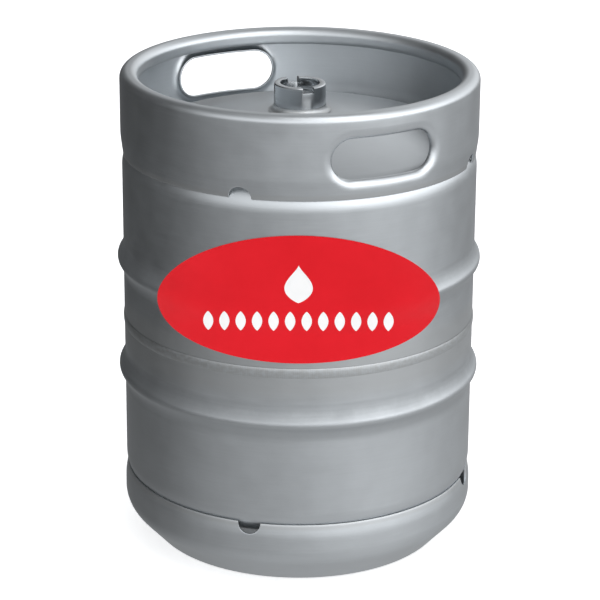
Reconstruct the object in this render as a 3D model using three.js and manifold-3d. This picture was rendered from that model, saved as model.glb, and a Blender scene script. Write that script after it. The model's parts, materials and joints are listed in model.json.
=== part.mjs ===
// A 50 litre stainless steel draught keg, with the extractor spear that fills its neck.
//
// Millimetres, +Z up. The origin is on the floor under the keg's axis. The front faces -Y, and an
// azimuth is counted from the front towards +X. Touching pieces keep a gap of GAP between them.

import * as THREE from 'three';
import { mergeVertices } from 'three/addons/utils/BufferGeometryUtils.js';
import Module from 'manifold-3d';

// Whole keg
const KEG_HEIGHT = 532;
const GAP = 0.3;
const BIG_SEGMENTS = 36;
const SMALL_SEGMENTS = 24;
const BALL_SEGMENTS = 16;

// Pressure vessel: two deep-drawn half shells, joined at the girth
const BODY_RADIUS = 194;
const SHELL_WALL = 1.5;
const GIRTH_Z = 252.5;
const SHOULDER_LOW_Z = 92;
const SHOULDER_HIGH_Z = 427;
const KNUCKLE_RADIUS = 35;
const CROWN_RADIUS = 560;

// Rolling hoops pressed into the shells
const HOOP_RADIUS = 200.5;
const HOOP_LOW_Z = 195;
const HOOP_HIGH_Z = 322.5;
const HOOP_CREST_ROUND = 8;
const HOOP_FLANK_ROUND = 28;

// Chimes: the collars welded on the shoulders
const CHIME_WALL = 1.8;
const CHIME_RADIUS = 195.4;
const CHIME_EDGE_RADIUS = 192.8;
const CHIME_EDGE_RISE = 14.3;
const TOP_LEAN_HEIGHT = 20;
const BOTTOM_LEAN_HEIGHT = 14;
const RIM_ROUND = 8.4;
const RIM_FLAT = 3;
const RIM_TAIL = 4;
const FOOT_ROUND = 8;
const FOOT_FLAT = 3;
const FOOT_RADIUS = 158.4;
const FOOT_TAIL = 4;
const TOE_ROUND = 30;
const TOE_Z = 48;
const CURL_END = THREE.MathUtils.degToRad(40);

// Hand holes with turned-in lips
const HAND_HOLE_WIDTH = 117;
const HAND_HOLE_HEIGHT = 44;
const HAND_HOLE_Z = 483;
const HAND_HOLE_AZIMUTHS = [28, 208];
const LIP_DEPTH = 9;
const LIP_SINK = 0.2;

// Half-moon drain notches in the welded edges of the chimes
const DRAIN_RADIUS = 12.5;
const DRAIN_COUNT = 4;
const TOP_DRAIN_AZIMUTH = -18.5;
const BOTTOM_DRAIN_AZIMUTH = -15.5;

// Weld beads: how far they reach along each of the two pieces that they join
const GIRTH_BEAD_HALF = 6;
const GIRTH_BEAD_FLAT_HALF = 2.5;
const GIRTH_BEAD_RISE = 0.7;
const CHIME_BEAD_LEG = 4.2;
const CHIME_BEAD_REACH = 1.5;
const NECK_BEAD_LEG = 6;
const NECK_BEAD_WAIST = 2;

// Neck welded in the crown
const NECK_RADIUS = 28.2;
const NECK_TOP_Z = 516;
const NECK_BOTTOM_Z = 474;
const NECK_TOP_CHAMFER = 1;
const NECK_FOOT_CHAMFER = 1.5;
const NECK_BORE = 21.6;
const LUG_TRACK_RADIUS = 24.5;
const LUG_TRACK_Z = [503, 510];
const LUG_SLOT_WIDTH = 13;
const LUG_SLOT_AZIMUTHS = [20, 200];
const RING_GROOVE_RADIUS = 22.9;
const RING_GROOVE_Z = [498.5, 500.4];
const SEAT_STEP_Z = 486;
const SEAT_STEP_BORE = 19;

// Spear: the valve body in the neck, and what slides in it
const FLANGE_Z = [489.3, 498.3];
const BARREL_RADIUS = 18.7;
const BARREL_WALL = 1.5;
const BARREL_BOTTOM_Z = 446;
const SEAL_LIP_BORE = 14.2;
const SEAL_POCKET_RADIUS = 17.6;
const SEAL_POCKET_TOP_Z = 495.8;
const SHEET_CORNER = 1.5;
const GAS_WINDOWS = 4;
const GAS_WINDOW_Z = [453, 469];
const GAS_WINDOW_WIDTH = 14;
const GASKET_BORE = 19.2;
const LOCK_RING_BORE = 20;
const LOCK_RING_THICKNESS = 1.4;
const LOCK_RING_SPLIT = THREE.MathUtils.degToRad(16);
const STOP_FLOOR_Z = [446.5, 448.2];
const STOP_RIM_HEIGHT = 5.5;
const STOP_RIM_WALL = 1.3;
const STOP_COLLAR_DEPTH = 5;
const STOP_COLLAR_WALL = 1.5;
const TUBE_RADIUS = 6.5;
const TUBE_WALL = 1;
const TUBE_BOTTOM_Z = 45.5;
const HEAD_RADIUS = 11.4;
const HEAD_WALL = 1.4;
const HEAD_CONE_HEIGHT = 6;
const HEAD_FLOOR_Z = 466;
const HEAD_TOP_Z = 488.9;
const BALL_RADIUS = 9;
const BALL_Z = 488;
const SEAL_Z = [491.3, 499];
const SEAL_RADIUS = 16.4;
const SEAL_EYE = 7;
const SEAL_EYE_FLARE = 3.4;
const SEAL_EYE_LOW_Z = 494.4;
const SEAL_SHOULDER_CHAMFER = 0.8;
const SEAL_TOP_CHAMFER = 1;
const RETAINER_RADIUS = 16;
const RETAINER_THICKNESS = 1.8;
const SPRING_STEPS_PER_TURN = 9;
const GAS_SPRING = { radius: 14, wire: 2, turns: 6 };
const PRODUCT_SPRING = { radius: 4.8, wire: 1, turns: 5 };
const PRODUCT_SPRING_TOP_Z = 480;

// Oval label on the front
const LABEL_WIDTH = 300.4;
const LABEL_HEIGHT = 132.8;
const LABEL_Z = 334.6;
const LABEL_DROOP = THREE.MathUtils.degToRad(19.4);
const LABEL_SKIN = 0.5;

const wasm = await Module();
wasm.setup();

const point = (radius, z) => new THREE.Vector2(radius, z);

/** Points of an arc in the radius-height plane, from one angle to another, both ends included. */
function arc(radiusCentre, zCentre, round, from, to, steps) {
  const points = [];
  for (let step = 0; step <= steps; step += 1) {
    const angle = from + ((to - from) * step) / steps;
    points.push(point(radiusCentre + round * Math.cos(angle), zCentre + round * Math.sin(angle)));
  }
  return points;
}

/** The same path moved sideways, to the left of its direction. */
function offsetPath(path, distance) {
  return path.map((here, i) => {
    const before = path[Math.max(i - 1, 0)];
    const after = path[Math.min(i + 1, path.length - 1)];
    const incoming = here.clone().sub(before).normalize();
    const outgoing = after.clone().sub(here).normalize();
    const along = incoming.clone().add(outgoing).normalize();
    const limb = incoming.lengthSq() > 0 ? incoming : outgoing;
    const reach = distance / along.dot(limb);
    return point(Math.max(here.x - along.y * reach, 0), here.y + along.x * reach);
  });
}

/** Closed profile of sheet metal whose outer face follows the path. */
function sheetProfile(path, wall) {
  return [...path, ...offsetPath(path, wall).reverse()];
}

/** Solid of revolution about Z. The profile may run either way round. */
function lathe(profile, segments) {
  const onAxis = profile[0].x === 0 && profile.at(-1).x === 0;
  const loop = onAxis ? [...profile] : [...profile, profile[0].clone()];
  const turned = THREE.ShapeUtils.area(profile) < 0 ? loop.reverse() : loop;
  return new THREE.LatheGeometry(turned, segments).rotateX(Math.PI / 2);
}

/** Ring of rectangular section. */
function ring(innerRadius, outerRadius, zLow, zHigh, segments = SMALL_SEGMENTS) {
  const profile = [point(innerRadius, zLow), point(outerRadius, zLow)];
  profile.push(point(outerRadius, zHigh), point(innerRadius, zHigh));
  return lathe(profile, segments);
}

/** Shape in X and Z, pushed out from the axis towards the front between two distances. */
function forwardPrism(shape, near, far, z, curveSegments = 6) {
  const settings = { depth: far - near, bevelEnabled: false, curveSegments };
  return new THREE.ExtrudeGeometry(shape, settings).rotateX(Math.PI / 2).translate(0, -near, z);
}

/** A front-facing geometry turned to an azimuth. */
const turn = (geometry, azimuth) => geometry.clone().rotateZ(THREE.MathUtils.degToRad(azimuth));

/** Rectangle with half-round ends, long side across. */
function racetrack(width, height) {
  const shape = new THREE.Shape();
  const end = (width - height) / 2;
  shape.absarc(end, 0, height / 2, -Math.PI / 2, Math.PI / 2, false);
  shape.absarc(-end, 0, height / 2, Math.PI / 2, (Math.PI * 3) / 2, false);
  return shape;
}

function disc(radius) {
  return new THREE.Shape().absarc(0, 0, radius, 0, Math.PI * 2, false);
}

function toSolid(geometry) {
  const bare = geometry.clone();
  bare.deleteAttribute('normal');
  bare.deleteAttribute('uv');
  const merged = mergeVertices(bare, 1e-4);
  const corners = merged.index.array;
  const kept = [];
  for (let i = 0; i < corners.length; i += 3) {
    const [a, b, c] = corners.slice(i, i + 3);
    if (a !== b && b !== c && c !== a) kept.push(a, b, c);
  }
  const vertProperties = new Float32Array(merged.attributes.position.array);
  return new wasm.Manifold(new wasm.Mesh({ numProp: 3, vertProperties, triVerts: new Uint32Array(kept) }));
}

function toGeometry(solid) {
  const mesh = solid.getMesh();
  const geometry = new THREE.BufferGeometry();
  geometry.setAttribute('position', new THREE.BufferAttribute(mesh.vertProperties, 3));
  geometry.setIndex([...mesh.triVerts]);
  geometry.computeVertexNormals();
  return geometry;
}

/** Height of a shoulder knuckle above (or, at the foot, below) its start, at a radius. */
function knuckleRise(radius, clearance = 0) {
  const reach = radius - (BODY_RADIUS - KNUCKLE_RADIUS);
  return Math.sqrt((KNUCKLE_RADIUS + clearance) ** 2 - reach ** 2);
}

/** Dome from the shoulder to a radius near its middle, as rises above the shoulder. */
function domePath(innerRadius) {
  const centre = BODY_RADIUS - KNUCKLE_RADIUS;
  const meet = Math.acos(centre / (CROWN_RADIUS - KNUCKLE_RADIUS));
  const drop = Math.sin(meet) * (CROWN_RADIUS - KNUCKLE_RADIUS);
  const crownEnd = Math.acos(innerRadius / CROWN_RADIUS);
  const knuckle = arc(centre, 0, KNUCKLE_RADIUS, 0, meet, 3);
  return [...knuckle, ...arc(0, -drop, CROWN_RADIUS, meet, crownEnd, 3).slice(1)];
}

/** Outer face of a hoop, from its lower foot to its upper foot. */
function hoopPath(z) {
  const sweep = Math.acos(1 - (HOOP_RADIUS - BODY_RADIUS) / (HOOP_CREST_ROUND + HOOP_FLANK_ROUND));
  const foot = (HOOP_CREST_ROUND + HOOP_FLANK_ROUND) * Math.sin(sweep);
  const crest = arc(HOOP_RADIUS - HOOP_CREST_ROUND, z, HOOP_CREST_ROUND, -sweep, sweep, 2);
  return [point(BODY_RADIUS, z - foot), ...crest, point(BODY_RADIUS, z + foot)];
}

function upperShell() {
  const dome = domePath(NECK_RADIUS + GAP).map((p) => point(p.x, SHOULDER_HIGH_Z + p.y));
  const girth = point(BODY_RADIUS, GIRTH_Z + GAP / 2);
  return lathe(sheetProfile([girth, ...hoopPath(HOOP_HIGH_Z), ...dome], SHELL_WALL), BIG_SEGMENTS);
}

function lowerShell() {
  const dome = domePath(0).map((p) => point(Math.max(p.x, 0), SHOULDER_LOW_Z - p.y));
  dome.at(-1).x = 0;
  const girth = point(BODY_RADIUS, GIRTH_Z - GAP / 2);
  const path = [...dome.reverse(), ...hoopPath(HOOP_LOW_Z), girth];
  const profile = sheetProfile(path, SHELL_WALL);
  profile.at(-1).x = 0;
  return lathe(profile, BIG_SEGMENTS);
}

/** Flat bead over the joint of the two half shells. */
function girthWeld() {
  const base = BODY_RADIUS + GAP;
  const crest = base + GIRTH_BEAD_RISE;
  const profile = [
    point(base, GIRTH_Z - GIRTH_BEAD_HALF),
    point(crest, GIRTH_Z - GIRTH_BEAD_FLAT_HALF),
    point(crest, GIRTH_Z + GIRTH_BEAD_FLAT_HALF),
    point(base, GIRTH_Z + GIRTH_BEAD_HALF),
  ];
  return lathe(profile, BIG_SEGMENTS);
}

/** Fillet between a chime's inner face and the knuckle. Direction is 1 at the top, -1 at the foot. */
function chimeWeld(shoulderZ, direction) {
  const wall = CHIME_EDGE_RADIUS - CHIME_WALL - GAP;
  const foot = wall - CHIME_BEAD_REACH;
  const rise = knuckleRise(wall, GAP) + GAP;
  const profile = [
    point(wall, shoulderZ + direction * rise),
    point(wall, shoulderZ + direction * (rise + CHIME_BEAD_LEG)),
    point(foot, shoulderZ + direction * (knuckleRise(foot, GAP) + 2 * GAP)),
  ];
  return lathe(profile, BIG_SEGMENTS);
}

function drainCutters(z, firstAzimuth) {
  const near = CHIME_RADIUS - 8 * CHIME_WALL;
  const far = CHIME_RADIUS + 4 * CHIME_WALL;
  const cutter = forwardPrism(disc(DRAIN_RADIUS), near, far, z);
  const cutters = [];
  for (let i = 0; i < DRAIN_COUNT; i += 1) {
    cutters.push(toSolid(turn(cutter, firstAzimuth + (360 / DRAIN_COUNT) * i)));
  }
  return cutters;
}

/** Top collar: wall, rolled rim, two lipped hand holes and four drain notches. */
function topChime() {
  const edgeZ = SHOULDER_HIGH_Z + CHIME_EDGE_RISE;
  const roundZ = KEG_HEIGHT - RIM_ROUND;
  const outer = CHIME_RADIUS - RIM_ROUND;
  const inner = outer - RIM_FLAT;
  const path = [
    point(CHIME_EDGE_RADIUS, edgeZ),
    point(CHIME_RADIUS, edgeZ + TOP_LEAN_HEIGHT),
    ...arc(outer, roundZ, RIM_ROUND, 0, Math.PI / 2, 2),
    ...arc(inner, roundZ, RIM_ROUND, Math.PI / 2, Math.PI, 2),
    ...arc(inner, roundZ - RIM_TAIL, RIM_ROUND, Math.PI, Math.PI + CURL_END, 1),
  ];
  const profile = sheetProfile(path, CHIME_WALL);
  const footing = CHIME_EDGE_RADIUS - CHIME_WALL;
  profile.at(-1).set(footing, SHOULDER_HIGH_Z + knuckleRise(footing, GAP) + GAP);
  let chime = toSolid(lathe(profile, BIG_SEGMENTS));

  // The lip is the part of a plug that lies in a band behind the wall's face. The hole goes through both.
  const inside = CHIME_RADIUS - HAND_HOLE_HEIGHT;
  const outside = CHIME_RADIUS + LIP_DEPTH;
  const lipShape = racetrack(HAND_HOLE_WIDTH + 2 * CHIME_WALL, HAND_HOLE_HEIGHT + 2 * CHIME_WALL);
  const plug = forwardPrism(lipShape, inside, outside, HAND_HOLE_Z);
  const holeShape = racetrack(HAND_HOLE_WIDTH, HAND_HOLE_HEIGHT);
  const hole = forwardPrism(holeShape, inside - GAP, outside + GAP, HAND_HOLE_Z);
  const [bandLow, bandHigh] = [HAND_HOLE_Z - HAND_HOLE_HEIGHT, HAND_HOLE_Z + HAND_HOLE_HEIGHT];
  const band = ring(CHIME_RADIUS - LIP_DEPTH, CHIME_RADIUS - LIP_SINK, bandLow, bandHigh, BIG_SEGMENTS);
  for (const azimuth of HAND_HOLE_AZIMUTHS) {
    chime = chime.add(toSolid(turn(plug, azimuth)).intersect(toSolid(band)));
    chime = chime.subtract(toSolid(turn(hole, azimuth)));
  }
  for (const cutter of drainCutters(edgeZ, TOP_DRAIN_AZIMUTH)) chime = chime.subtract(cutter);
  return toGeometry(chime);
}

/** Bottom collar: wall, inward toe, rolled foot and four drain notches. */
function bottomChime() {
  const edgeZ = SHOULDER_LOW_Z - CHIME_EDGE_RISE;
  const toeCentre = CHIME_RADIUS - TOE_ROUND;
  const footInner = FOOT_RADIUS - FOOT_FLAT;
  // The straight slope touches both the toe's arc and the foot's arc, at the same angle on each.
  const span = Math.hypot(toeCentre - FOOT_RADIUS, TOE_Z - FOOT_ROUND);
  const lean = Math.atan2(TOE_Z - FOOT_ROUND, toeCentre - FOOT_RADIUS);
  const touch = lean - Math.acos((FOOT_ROUND - TOE_ROUND) / span);
  const path = [
    ...arc(footInner, FOOT_ROUND + FOOT_TAIL, FOOT_ROUND, Math.PI - CURL_END, Math.PI, 1),
    ...arc(footInner, FOOT_ROUND, FOOT_ROUND, Math.PI, (Math.PI * 3) / 2, 2),
    ...arc(FOOT_RADIUS, FOOT_ROUND, FOOT_ROUND, -Math.PI / 2, touch, 2),
    ...arc(toeCentre, TOE_Z, TOE_ROUND, touch, 0, 2),
    point(CHIME_RADIUS, edgeZ - BOTTOM_LEAN_HEIGHT),
    point(CHIME_EDGE_RADIUS, edgeZ),
  ];
  const profile = sheetProfile(path, CHIME_WALL);
  const footing = CHIME_EDGE_RADIUS - CHIME_WALL;
  profile[path.length].set(footing, SHOULDER_LOW_Z - knuckleRise(footing, GAP) - GAP);
  let chime = toSolid(lathe(profile, BIG_SEGMENTS));
  for (const cutter of drainCutters(edgeZ, BOTTOM_DRAIN_AZIMUTH)) chime = chime.subtract(cutter);
  return toGeometry(chime);
}

/** Turned neck: bayonet slots at the top, ring groove, and the step that the spear's gasket sits on. */
function neckBoss() {
  const [trackLow, trackHigh] = LUG_TRACK_Z;
  const [grooveLow, grooveHigh] = RING_GROOVE_Z;
  const profile = [
    point(SEAT_STEP_BORE, NECK_BOTTOM_Z),
    point(NECK_RADIUS - NECK_FOOT_CHAMFER, NECK_BOTTOM_Z),
    point(NECK_RADIUS, NECK_BOTTOM_Z + NECK_FOOT_CHAMFER),
    point(NECK_RADIUS, NECK_TOP_Z - NECK_TOP_CHAMFER),
    point(NECK_RADIUS - NECK_TOP_CHAMFER, NECK_TOP_Z),
    point(NECK_BORE, NECK_TOP_Z),
    point(NECK_BORE, trackHigh),
    point(LUG_TRACK_RADIUS, trackHigh),
    point(LUG_TRACK_RADIUS, trackLow),
    point(NECK_BORE, trackLow),
    point(NECK_BORE, grooveHigh),
    point(RING_GROOVE_RADIUS, grooveHigh),
    point(RING_GROOVE_RADIUS, grooveLow),
    point(NECK_BORE, grooveLow),
    point(NECK_BORE, SEAT_STEP_Z),
    point(SEAT_STEP_BORE, SEAT_STEP_Z),
  ];
  let neck = toSolid(lathe(profile, SMALL_SEGMENTS));
  const slotHeight = 2 * (NECK_TOP_Z - trackHigh);
  const slotLength = 3 * (NECK_RADIUS - NECK_BORE);
  const slot = new THREE.BoxGeometry(LUG_SLOT_WIDTH, slotLength, slotHeight);
  slot.translate(0, -(NECK_RADIUS + NECK_BORE) / 2, NECK_TOP_Z);
  for (const azimuth of LUG_SLOT_AZIMUTHS) neck = neck.subtract(toSolid(turn(slot, azimuth)));
  return toGeometry(neck);
}

/** Fillet weld around the neck, on the crown. */
function neckWeld() {
  const inner = NECK_RADIUS + GAP;
  const outer = inner + NECK_BEAD_LEG;
  const crown = (radius) => SHOULDER_HIGH_Z + domePath(radius).at(-1).y + 2 * GAP;
  const profile = [
    point(inner, crown(inner)),
    point(outer, crown(outer)),
    point(inner + NECK_BEAD_WAIST, crown(inner) + NECK_BEAD_WAIST),
    point(inner, crown(inner) + NECK_BEAD_LEG),
  ];
  return lathe(profile, SMALL_SEGMENTS);
}

/** Valve body: flange under the retaining ring, seal pocket, and a barrel with gas windows. */
function spearBody() {
  const [flangeLow, flangeHigh] = FLANGE_Z;
  const barrelBore = BARREL_RADIUS - BARREL_WALL;
  const profile = [
    point(barrelBore, BARREL_BOTTOM_Z),
    point(BARREL_RADIUS, BARREL_BOTTOM_Z),
    point(BARREL_RADIUS, flangeLow),
    point(NECK_BORE - GAP, flangeLow),
    point(NECK_BORE - GAP, flangeHigh),
    point(SEAL_LIP_BORE, flangeHigh),
    point(SEAL_LIP_BORE, SEAL_POCKET_TOP_Z),
    point(SEAL_POCKET_RADIUS, SEAL_POCKET_TOP_Z),
    point(SEAL_POCKET_RADIUS, flangeLow),
    point(barrelBore, flangeLow - SHEET_CORNER),
  ];
  let body = toSolid(lathe(profile, SMALL_SEGMENTS));
  const [windowLow, windowHigh] = GAS_WINDOW_Z;
  const opening = racetrack(windowHigh - windowLow, GAS_WINDOW_WIDTH);
  const near = BARREL_RADIUS / 2;
  const far = BARREL_RADIUS + BARREL_WALL;
  const cutter = forwardPrism(opening, near, far, (windowLow + windowHigh) / 2, 4);
  for (let i = 0; i < GAS_WINDOWS; i += 1) {
    body = body.subtract(toSolid(turn(cutter, (360 / GAS_WINDOWS) * i)));
  }
  return toGeometry(body);
}

/** Split retaining ring in the neck's groove. */
function lockRing() {
  const [grooveLow, grooveHigh] = RING_GROOVE_Z;
  const start = LOCK_RING_SPLIT / 2;
  const end = Math.PI * 2 - LOCK_RING_SPLIT / 2;
  const shape = new THREE.Shape();
  shape.absarc(0, 0, RING_GROOVE_RADIUS - GAP, start, end, false);
  shape.absarc(0, 0, LOCK_RING_BORE, end, start, true);
  const settings = { depth: LOCK_RING_THICKNESS, bevelEnabled: false, curveSegments: SMALL_SEGMENTS };
  const low = (grooveLow + grooveHigh - LOCK_RING_THICKNESS) / 2;
  return new THREE.ExtrudeGeometry(shape, settings).translate(0, 0, low);
}

/** Dished washer at the foot of the barrel: it holds the spring and guides the tube. */
function springStop() {
  const [floorLow, floorHigh] = STOP_FLOOR_Z;
  const rim = BARREL_RADIUS - BARREL_WALL - GAP;
  const guide = TUBE_RADIUS + GAP;
  const collarLow = floorLow - STOP_COLLAR_DEPTH;
  const rimHigh = floorLow + STOP_RIM_HEIGHT;
  const profile = [
    point(guide, collarLow),
    point(guide + STOP_COLLAR_WALL, collarLow),
    point(guide + STOP_COLLAR_WALL, floorLow),
    point(rim, floorLow),
    point(rim, rimHigh),
    point(rim - STOP_RIM_WALL, rimHigh),
    point(rim - STOP_RIM_WALL, floorHigh),
    point(guide, floorHigh),
  ];
  return lathe(profile, SMALL_SEGMENTS);
}

/** Rubber valve ring: its shoulder seals under the body's lip, its eye under the coupler's probe. */
function gasSeal() {
  const [sealLow, sealHigh] = SEAL_Z;
  const shoulder = SEAL_POCKET_TOP_Z - GAP;
  const neck = SEAL_LIP_BORE - GAP;
  const profile = [
    point(SEAL_EYE + SEAL_EYE_FLARE, sealLow),
    point(SEAL_RADIUS, sealLow),
    point(SEAL_RADIUS, shoulder - SEAL_SHOULDER_CHAMFER),
    point(SEAL_RADIUS - SEAL_SHOULDER_CHAMFER, shoulder),
    point(neck, shoulder),
    point(neck, sealHigh - SEAL_TOP_CHAMFER),
    point(neck - SEAL_TOP_CHAMFER, sealHigh),
    point(SEAL_EYE + SEAL_TOP_CHAMFER, sealHigh),
    point(SEAL_EYE, sealHigh - SEAL_TOP_CHAMFER),
    point(SEAL_EYE, SEAL_EYE_LOW_Z),
  ];
  return lathe(profile, SMALL_SEGMENTS);
}

/** Steel ring that backs the rubber and takes the push of the large spring. */
function sealRetainer() {
  const top = SEAL_Z[0] - GAP;
  return ring(SEAL_EYE + SEAL_EYE_FLARE, RETAINER_RADIUS, top - RETAINER_THICKNESS, top);
}

/** Beer tube with a cup-shaped head that holds the ball, open at the top. */
function downTube() {
  const bore = TUBE_RADIUS - TUBE_WALL;
  const cupBore = HEAD_RADIUS - HEAD_WALL;
  const profile = [
    point(bore, TUBE_BOTTOM_Z),
    point(TUBE_RADIUS, TUBE_BOTTOM_Z),
    point(TUBE_RADIUS, HEAD_FLOOR_Z - HEAD_CONE_HEIGHT),
    point(HEAD_RADIUS, HEAD_FLOOR_Z),
    point(HEAD_RADIUS, HEAD_TOP_Z),
    point(cupBore, HEAD_TOP_Z),
    point(cupBore, HEAD_FLOOR_Z),
    point(bore, HEAD_FLOOR_Z),
  ];
  return lathe(profile, SMALL_SEGMENTS);
}

function productBall() {
  const path = arc(0, BALL_Z, BALL_RADIUS, -Math.PI / 2, Math.PI / 2, BALL_SEGMENTS / 2);
  path[0].x = 0;
  path.at(-1).x = 0;
  return lathe(path, BALL_SEGMENTS);
}

class Helix extends THREE.Curve {
  constructor(radius, zLow, zHigh, turns) {
    super();
    Object.assign(this, { radius, zLow, zHigh, turns });
  }

  getPoint(t, target = new THREE.Vector3()) {
    const angle = t * this.turns * Math.PI * 2;
    const z = this.zLow + (this.zHigh - this.zLow) * t;
    return target.set(this.radius * Math.cos(angle), this.radius * Math.sin(angle), z);
  }
}

/** Compression spring between two heights, clear of both by GAP. */
function spring({ radius, wire, turns }, zLow, zHigh) {
  const margin = wire / 2 + GAP;
  const extrudePath = new Helix(radius, zLow + margin, zHigh - margin, turns);
  const settings = { steps: turns * SPRING_STEPS_PER_TURN, extrudePath, curveSegments: 3 };
  return new THREE.ExtrudeGeometry(disc(wire / 2), settings);
}

/** Oval vinyl label that follows the shell and its hoop, its ends drooping below its middle. */
function ovalLabel() {
  const reach = LABEL_HEIGHT * 0.6;
  const low = point(BODY_RADIUS, LABEL_Z - reach);
  const high = point(BODY_RADIUS, LABEL_Z + reach);
  const path = [low, ...hoopPath(HOOP_HIGH_Z), high];
  const under = offsetPath(path, -GAP);
  const over = offsetPath(path, -GAP - LABEL_SKIN);
  const skin = lathe([...over, ...under.reverse()], BIG_SEGMENTS);
  const [halfWidth, halfHeight] = [LABEL_WIDTH / 2, LABEL_HEIGHT / 2];
  const oval = new THREE.Shape().absellipse(0, 0, halfWidth, halfHeight, 0, Math.PI * 2, false);
  const punch = forwardPrism(oval, -halfWidth, halfWidth, 0, 14);
  punch.rotateX(-LABEL_DROOP).translate(0, -BODY_RADIUS, LABEL_Z);
  return toGeometry(toSolid(skin).intersect(toSolid(punch)));
}

const finishes = {
  satin: { color: 0xa9adae, roughness: 0.38, metalness: 1 },
  weld: { color: 0x8f9394, roughness: 0.5, metalness: 1 },
  turned: { color: 0x9ea2a4, roughness: 0.28, metalness: 1 },
  spring: { color: 0x8a8d90, roughness: 0.3, metalness: 1 },
  polished: { color: 0xc4c7c9, roughness: 0.12, metalness: 1 },
  rubber: { color: 0x1b1b1c, roughness: 0.75, metalness: 0 },
  vinyl: { color: 0xda212b, roughness: 0.4, metalness: 0 },
};

const keg = new THREE.Group();

function place(name, geometry, finish) {
  const mesh = new THREE.Mesh(geometry, new THREE.MeshStandardMaterial(finishes[finish]));
  mesh.name = name;
  keg.add(mesh);
}

place('upper_shell', upperShell(), 'satin');
place('lower_shell', lowerShell(), 'satin');
place('girth_weld', girthWeld(), 'weld');
place('top_chime', topChime(), 'satin');
place('bottom_chime', bottomChime(), 'satin');
place('top_chime_weld', chimeWeld(SHOULDER_HIGH_Z, 1), 'weld');
place('bottom_chime_weld', chimeWeld(SHOULDER_LOW_Z, -1), 'weld');
place('neck_boss', neckBoss(), 'turned');
place('neck_weld', neckWeld(), 'weld');

place('spear_body', spearBody(), 'turned');
place('body_gasket', ring(GASKET_BORE, NECK_BORE - GAP, SEAT_STEP_Z + GAP, FLANGE_Z[0] - GAP), 'rubber');
place('lock_ring', lockRing(), 'spring');
place('spring_stop', springStop(), 'turned');
place('gas_seal', gasSeal(), 'rubber');
place('seal_retainer', sealRetainer(), 'turned');
place('down_tube', downTube(), 'turned');
place('gas_spring', spring(GAS_SPRING, STOP_FLOOR_Z[1], SEAL_Z[0] - GAP - RETAINER_THICKNESS), 'spring');
place('product_ball', productBall(), 'polished');
place('product_spring', spring(PRODUCT_SPRING, HEAD_FLOOR_Z, PRODUCT_SPRING_TOP_Z), 'spring');

place('oval_label', ovalLabel(), 'vinyl');

export default keg;
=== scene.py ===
"""A 50 litre stainless steel draught keg: fine meshes, materials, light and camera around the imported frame.

Metres, +Z up, the front of the keg faces -Y. An azimuth is counted from the front towards +X.
"""

import json
from math import acos, asin, atan2, copysign, cos, hypot, pi, radians, sin, sqrt, tan

import bmesh
import bpy
import numpy as np
from mathutils import Matrix, Vector, noise


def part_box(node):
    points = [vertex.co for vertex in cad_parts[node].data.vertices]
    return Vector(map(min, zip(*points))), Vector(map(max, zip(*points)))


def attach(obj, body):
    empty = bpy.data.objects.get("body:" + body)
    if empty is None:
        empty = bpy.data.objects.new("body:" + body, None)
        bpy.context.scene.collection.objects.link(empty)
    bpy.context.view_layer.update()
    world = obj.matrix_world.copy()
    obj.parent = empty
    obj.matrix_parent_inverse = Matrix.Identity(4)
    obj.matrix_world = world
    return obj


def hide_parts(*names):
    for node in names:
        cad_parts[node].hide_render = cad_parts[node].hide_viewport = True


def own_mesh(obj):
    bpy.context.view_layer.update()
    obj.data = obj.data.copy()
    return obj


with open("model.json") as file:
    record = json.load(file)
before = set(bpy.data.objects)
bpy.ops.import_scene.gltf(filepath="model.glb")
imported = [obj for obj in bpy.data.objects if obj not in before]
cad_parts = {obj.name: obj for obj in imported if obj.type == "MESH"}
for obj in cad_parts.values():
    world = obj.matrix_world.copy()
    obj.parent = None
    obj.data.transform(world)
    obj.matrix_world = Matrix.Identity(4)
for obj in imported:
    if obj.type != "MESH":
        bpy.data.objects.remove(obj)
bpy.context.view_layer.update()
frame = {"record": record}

MM = 0.001
TURN = 2 * pi


def low(node):
    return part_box(node)[0]


def high(node):
    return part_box(node)[1]


# Sizes that the frame gives
KEG_HEIGHT = high("top_chime").z
HOOP_RADIUS = high("upper_shell").x
CHIME_RADIUS = high("top_chime").x
GIRTH_Z = (high("girth_weld").z + low("girth_weld").z) / 2
NECK_RADIUS = high("neck_boss").x
NECK_BOTTOM_Z, NECK_TOP_Z = low("neck_boss").z, high("neck_boss").z
MOUNTS = {mount["name"]: mount for mount in frame["record"]["mounts"]}
FOOT_MOUNT_INSET = 2.1 * MM
FOOT_RADIUS = hypot(*MOUNTS["foot_rest"]["pos_m"][:2]) + FOOT_MOUNT_INSET

# Vessel
GAP = 0.3 * MM
GIRTH_BEAD_RISE = 1 * MM
BODY_RADIUS = high("girth_weld").x - GIRTH_BEAD_RISE
SHELL_WALL = 1.5 * MM
SHOULDER_LOW_Z = 92 * MM
SHOULDER_HIGH_Z = 427 * MM
KNUCKLE_RADIUS = 35 * MM
CROWN_RADIUS = 560 * MM
HOOP_ZS = (195 * MM, 322.5 * MM)
HOOP_CREST_ROUND = 8 * MM
HOOP_FLANK_ROUND = 28 * MM

# Chimes
CHIME_WALL = 1.8 * MM
CHIME_EDGE_RADIUS = 192.8 * MM
CHIME_EDGE_RISE = 14.3 * MM
CHIME_EDGE_BEVEL = 0.5 * MM
CHIME_LEAN_HEIGHT = 20 * MM
TOE_LEAN_HEIGHT = 14 * MM
RIM_ROUND = 8.4 * MM
RIM_FLAT = 3 * MM
RIM_TAIL = 4 * MM
FOOT_ROUND = 8 * MM
FOOT_FLAT = 3 * MM
FOOT_TAIL = 4 * MM
TOE_ROUND = 30 * MM
TOE_Z = 48 * MM
CURL_END = radians(40)

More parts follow.
